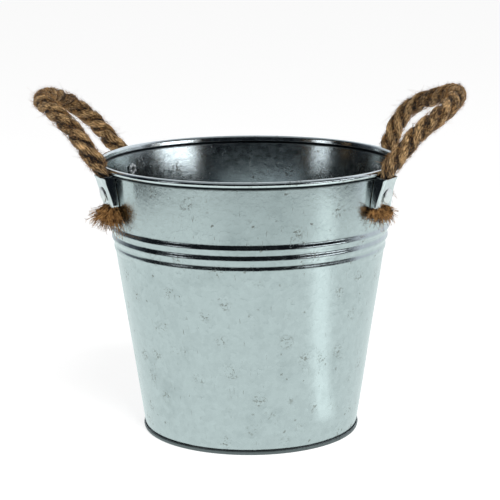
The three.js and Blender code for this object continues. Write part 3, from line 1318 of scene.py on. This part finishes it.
@dataclass
class Studio:
    """A white table in a dim room with two softboxes low at the sides, and the camera."""

    azimuth: float = math.radians(4)
    elevation: float = math.radians(11.95)
    distance: float = 1.189
    aim_z: float = 0.1187
    focal: float = 129.3
    roll: float = math.radians(-0.335)
    table_radius: float = 0.5
    softboxes: tuple[Softbox, ...] = (
        Softbox((44, 84), (3, 11), 3.4),
        Softbox((-68, -54), (3, 11), 2.0),
    )

    def toward_camera(self, elevation: float) -> Vector:
        """Unit direction with the camera's azimuth and the given elevation."""
        return Vector((
            math.sin(self.azimuth) * math.cos(elevation),
            -math.cos(self.azimuth) * math.cos(elevation),
            math.sin(elevation),
        ))

    def camera(self) -> None:
        """Sets the camera at a gentle downward angle in front of the bucket."""
        data = bpy.data.cameras.new("camera")
        data.lens = self.focal
        data.sensor_width = 36
        camera = bpy.data.objects.new("camera", data)
        bpy.context.scene.collection.objects.link(camera)
        back = self.toward_camera(self.elevation)
        turn = back.to_track_quat("Z", "Y").to_matrix().to_4x4()
        aim = Vector((0, 0, self.aim_z))
        camera.matrix_world = (
            Matrix.Translation(aim + back * self.distance) @ turn @ Matrix.Rotation(self.roll, 4, "Z")
        )
        bpy.context.scene.camera = camera
        bpy.context.scene.view_settings.view_transform = "Standard"

    def floor(self) -> None:
        """A matt white floor that glows a little, so that it is as white as paper."""
        material, tree, shader = new_material("white_floor")
        set_inputs(tree, shader, {
            "Base Color": linear("b4b4b4"), "Roughness": 0.9, "Specular IOR Level": 0.0,
            "Emission Color": linear("ffffff"), "Emission Strength": 0.82,
        })
        bm = bmesh.new()
        bmesh.ops.create_grid(bm, x_segments=1, y_segments=1, size=40)
        floor = finish_bmesh(bm, "floor", material)
        floor.visible_glossy = False

    def mirrored_card(
        self, name: str, radii: tuple[float, float], bearings: tuple[float, float], strength: float
    ) -> None:
        """Adds a glowing card on the floor that only shows as a reflection in the metal.

        Args:
            name: The card's name.
            radii: Its inner and outer radius round the bucket.
            bearings: Its start and end bearing from the camera's, in degrees.
            strength: Its brightness.
        """
        material, tree, shader = new_material(name)
        tree.nodes.remove(shader)
        glow = add_node(tree, "Emission", {0: linear("f0fcfc"), 1: strength}).outputs[0]
        tree.links.new(glow, tree.nodes["Material Output"].inputs["Surface"])
        start, end = (self.azimuth - math.pi / 2 + math.radians(bearing) for bearing in bearings)
        bm = bmesh.new()
        inner, outer = (
            bm.verts.new((radius * math.cos(start), radius * math.sin(start), 0)) for radius in radii
        )
        edge = bm.edges.new((inner, outer))
        bmesh.ops.spin(
            bm, geom=[inner, outer, edge], cent=(0, 0, 0), axis=(0, 0, 1), angle=end - start,
            steps=32, use_merge=bearings[1] - bearings[0] >= 360, use_duplicate=False,
        )
        bmesh.ops.translate(bm, verts=bm.verts, vec=(0, 0, strength * 0.1 * MM))
        card = finish_bmesh(bm, name, material)
        card.visible_camera = card.visible_diffuse = card.visible_shadow = False
        card.visible_transmission = card.visible_volume_scatter = False

    def room(self) -> None:
        """Builds the room that the metal mirrors: dim towards the camera, lighter behind and above."""
        world = bpy.data.worlds.new("studio")
        bpy.context.scene.world = world
        world.use_nodes = True
        tree = world.node_tree
        tree.nodes.clear()
        way = add_node(tree, "TexCoord").outputs["Generated"]
        front = self.toward_camera(0)
        right = Vector((-front.y, front.x, 0))
        ahead, aside = (
            add_node(tree, "VectorMath", {0: way, 1: axis}, operation="DOT_PRODUCT").outputs["Value"]
            for axis in (front, right)
        )
        bearing = self.degrees(tree, add_node(tree, "Math", {0: aside, 1: ahead}, operation="ARCTAN2"))
        height = add_node(tree, "SeparateXYZ", {0: way}).outputs[2]
        lift = self.degrees(tree, add_node(tree, "Math", {0: height}, operation="ARCSINE"))
        share = add_node(tree, "MapRange", {0: bearing, 1: -180.0, 2: 180.0}).outputs[0]
        dim = (0.007, 0.009, 0.012, 1.0)
        walls = add_node(tree, "ValToRGB", {0: share}, ramp=[
            (0.0, (1.0, 1.05, 1.1, 1.0)), (0.1, (0.6, 0.64, 0.68, 1.0)), (0.17, (0.1, 0.12, 0.15, 1.0)),
            (0.24, dim), (0.745, dim), (0.78, (0.75, 0.8, 0.88, 1.0)), (1.0, (1.0, 1.05, 1.1, 1.0)),
        ]).outputs[0]
        overhead = add_node(
            tree, "MapRange", {0: lift, 1: 36.0, 2: 60.0}, interpolation_type="SMOOTHSTEP"
        ).outputs[0]
        ceiling = (0.32, 0.35, 0.37, 1.0)
        mirrored = add_node(tree, "Mix", {0: overhead, 6: walls, 7: ceiling}, data_type="RGBA").outputs[2]
        for box in self.softboxes:
            lit = self.patch(tree, bearing, lift, box)
            tint = add_node(tree, "VectorMath", {0: (0.95, 1.0, 1.05), 3: lit}, operation="SCALE").outputs[0]
            mirrored = add_node(tree, "VectorMath", {0: mirrored, 1: tint}, operation="ADD").outputs[0]
        path = add_node(tree, "LightPath")
        soft = add_node(tree, "Background", {0: linear("ffffff"), 1: 0.28}).outputs[0]
        metal = add_node(tree, "Background", {0: mirrored, 1: 1.0}).outputs[0]
        backdrop = add_node(tree, "Background", {0: linear("ffffff"), 1: 1.0}).outputs[0]
        glossy = add_node(tree, "MixShader", {0: path.outputs["Is Glossy Ray"], 1: soft, 2: metal}).outputs[0]
        mixed = add_node(
            tree, "MixShader", {0: path.outputs["Is Camera Ray"], 1: glossy, 2: backdrop}
        ).outputs[0]
        add_node(tree, "OutputWorld", {0: mixed})

    def degrees(self, tree: NodeTree, angle: Node) -> NodeSocket:
        """Turns a node's angle into degrees."""
        return add_node(tree, "Math", {0: angle.outputs[0]}, operation="DEGREES").outputs[0]

    def patch(self, tree: NodeTree, bearing: NodeSocket, lift: NodeSocket, box: Softbox) -> NodeSocket:
        """A soft-edged rectangle of the room.

        Args:
            tree: The world's node tree.
            bearing: Bearing from the camera's, in degrees.
            lift: Elevation in degrees.
            box: The rectangle and its brightness.

        Returns:
            The rectangle's brightness.
        """
        lit: NodeSocket | float = box.strength
        for angle, (low, high) in ((bearing, box.bearings), (lift, box.elevations)):
            for start, stop in ((low - 3.0, low + 3.0), (high + 3.0, high - 3.0)):
                edge = add_node(
                    tree, "MapRange", {0: angle, 1: start, 2: stop}, interpolation_type="SMOOTHSTEP"
                ).outputs[0]
                lit = add_node(tree, "Math", {0: lit, 1: edge}, operation="MULTIPLY").outputs[0]
        return lit

    def lamp(self, name: str, place: tuple[float, float, float], size: float, power: float) -> None:
        """Adds one square soft light that faces the bucket and doesn't show in the metal.

        Args:
            name: The light's name.
            place: Where it hangs.
            size: Its side.
            power: Its power in watts.
        """
        data = bpy.data.lights.new(name, "AREA")
        data.size = size
        data.energy = power
        light = bpy.data.objects.new(name, data)
        light.location = place
        light.rotation_euler = (Vector(place) - Vector((0, 0, 0.1))).to_track_quat("Z", "Y").to_euler()
        light.visible_glossy = False
        bpy.context.scene.collection.objects.link(light)

    def build(self) -> None:
        """Builds the camera, the floor, the room and its lights."""
        self.camera()
        self.floor()
        self.mirrored_card("table_glow", (0.0, self.table_radius), (0, 360), 1.0)
        self.mirrored_card("far_table_glow", (self.table_radius, 0.85), (95, 265), 1.0)
        self.mirrored_card("side_card_edge", (0.1, 0.48), (46, 69), 1.15)
        self.mirrored_card("side_card", (0.1, 0.48), (51, 64), 1.4)
        self.room()
        self.lamp("front_softbox", (0.35, -0.9, 1.3), 0.6, 17)


def main() -> None:
    """Builds the studio and the bucket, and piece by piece."""
    logging.basicConfig(level=logging.INFO, format="%(name)s: %(message)s")
    Studio().build()
    sizes = BucketSizes.from_frame()
    zinc = GalvanisedSheet().build()
    plated = PlatedSteel().build()
    # The rivets' whiter plate colour is partly their own and partly painted highlight for the bright glint on
    # their heads; the higher roughness is their tumbled finish.
    rivet_steel = PlatedSteel("rivet_steel_painted_bright", plate="f0f0ee", roughness=0.3).build()
    yarn = JuteYarn().build()
    fibre = LooseFibre().build()
    BucketBody(sizes).build(zinc)
    for side, route, seed in ((Side.LEFT, LEFT_ROUTE, 3), (Side.RIGHT, RIGHT_ROUTE, 8)):
        for end in End:
            RivetedClip(sizes, side, end).build(plated, rivet_steel)
        RopeHandle(sizes, side, route, seed).build(yarn, fibre)


if __name__ == "__main__":
    main()
